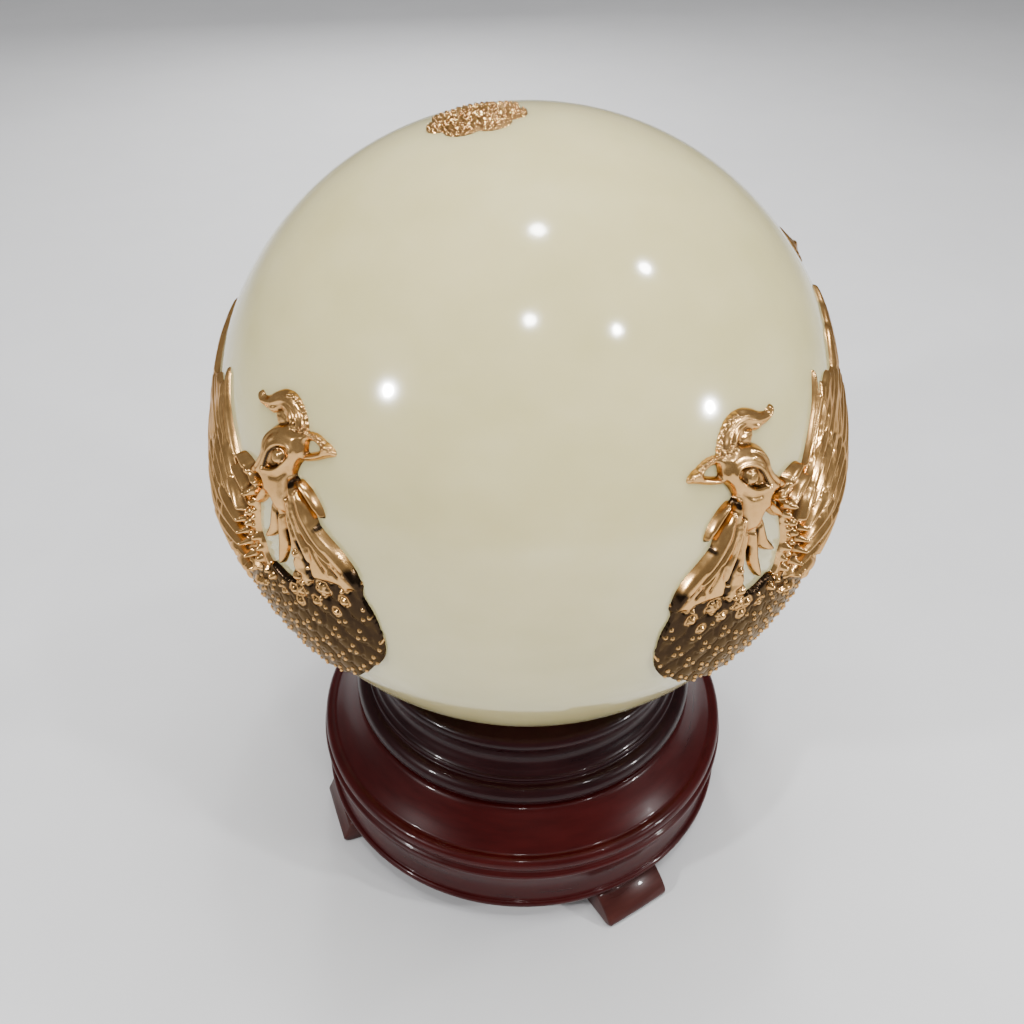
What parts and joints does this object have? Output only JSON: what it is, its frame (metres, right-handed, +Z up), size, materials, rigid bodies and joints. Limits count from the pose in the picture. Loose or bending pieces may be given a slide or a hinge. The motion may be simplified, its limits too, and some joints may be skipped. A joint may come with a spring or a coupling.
{
  "type": "jade ball with phoenix mounts on a stand",
  "caption": "Polished jade ball with gilt relief phoenixes curling round its sides, resting on a low round lacquered stand with bracket feet.",
  "frame": {"origin": "on the surface the stand rests on, under the middle of the ball", "axes": "+Z up; -Y towards the front, where the two phoenixes face each other's wings across the bare jade; +X to the right seen from the front"},
  "size_m": [0.1534, 0.15, 0.2078],
  "materials": {
    "jade": "polished",
    "gilt": "gilded, polished",
    "dark_lacquer": "glossy lacquer",
    "lacquer": "glossy lacquer",
    "stained_wood": "varnished"
  },
  "bodies": {
    "root": {"jade_ball": "jade", "phoenix_right": "gilt", "phoenix_left": "gilt", "top_rosette": "gilt", "stand_collar": "dark_lacquer", "stand_platform": "lacquer", "stand_foot_1": "stained_wood", "stand_foot_2": "stained_wood", "stand_foot_3": "stained_wood", "stand_foot_4": "stained_wood"}
  },
  "joints": []
}
